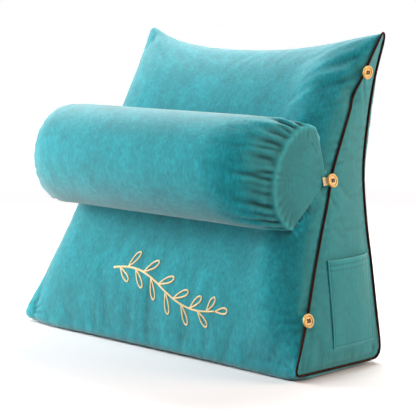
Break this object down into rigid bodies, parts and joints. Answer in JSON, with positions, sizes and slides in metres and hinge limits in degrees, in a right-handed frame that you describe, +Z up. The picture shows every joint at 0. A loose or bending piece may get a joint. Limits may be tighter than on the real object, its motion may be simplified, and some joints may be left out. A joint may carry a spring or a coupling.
{
  "type": "wedge reading pillow",
  "caption": "Upholstered wedge reading pillow with piped side gussets, a side pocket and a round neck roll held by elastic loops on wooden buttons.",
  "frame": {"origin": "on the floor, under the middle of the wedge's base", "axes": "+Z up, the front slope and the neck roll face -Y, +X towards the side with the pocket"},
  "size_m": [0.6216, 0.3441, 0.4875],
  "materials": {
    "velvet": "teal short-pile velvet",
    "piping": "dark brown woven piping",
    "wood": "pale turned wood, satin",
    "thread": "dark brown sewing thread",
    "elastic": "cream braided elastic"
  },
  "bodies": {
    "root": {"wedge_cushion": "velvet", "neck_roll": "velvet", "pocket": "velvet", "piping_right": "piping", "piping_left": "piping", "button_right_bottom": "wood", "button_right_middle": "wood", "button_right_top": "wood", "button_left_bottom": "wood", "button_left_middle": "wood", "button_left_top": "wood", "thread_right_bottom": "thread", "thread_right_middle": "thread", "thread_right_top": "thread", "thread_left_bottom": "thread", "thread_left_middle": "thread", "thread_left_top": "thread", "loop_right": "elastic", "loop_left": "elastic"}
  },
  "joints": []
}
